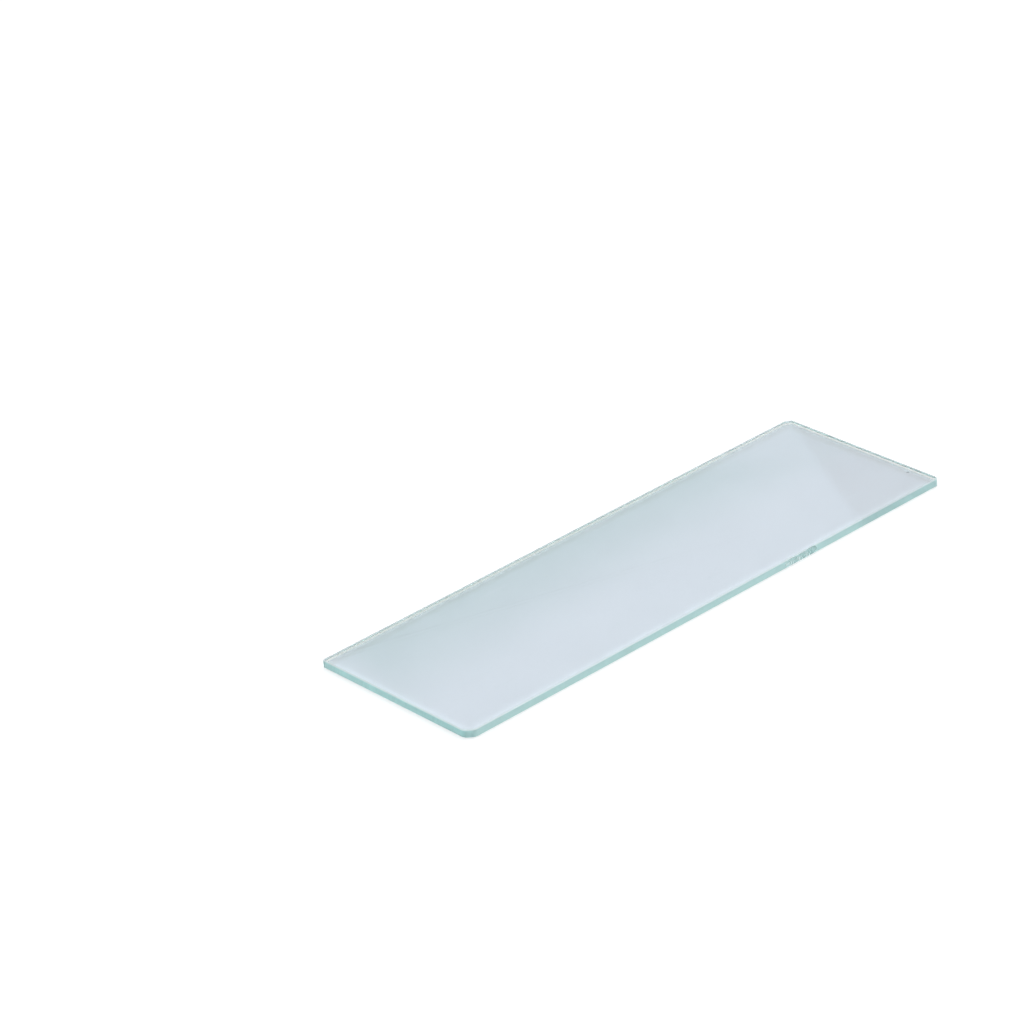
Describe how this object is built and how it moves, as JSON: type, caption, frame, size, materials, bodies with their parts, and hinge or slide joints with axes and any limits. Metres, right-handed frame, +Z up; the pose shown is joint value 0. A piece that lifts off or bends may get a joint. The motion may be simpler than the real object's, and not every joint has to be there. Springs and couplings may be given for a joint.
{
  "type": "microscope slide",
  "caption": "Plain rectangular plate of clear glass with clipped corners and ground green-tinted edges, for mounting a specimen under a microscope.",
  "frame": {"origin": "centre of the underside, which lies flat on the surface that carries the slide", "axes": "+X along the slide's length, +Y across its width away from the chipped long edge, +Z up through its thickness"},
  "size_m": [0.0762, 0.0254, 0.0011],
  "materials": {
    "clear_glass": "polished faces, satin ground edges with a blue-green cast"
  },
  "bodies": {
    "root": {"glass_slide": "clear_glass"}
  },
  "joints": []
}
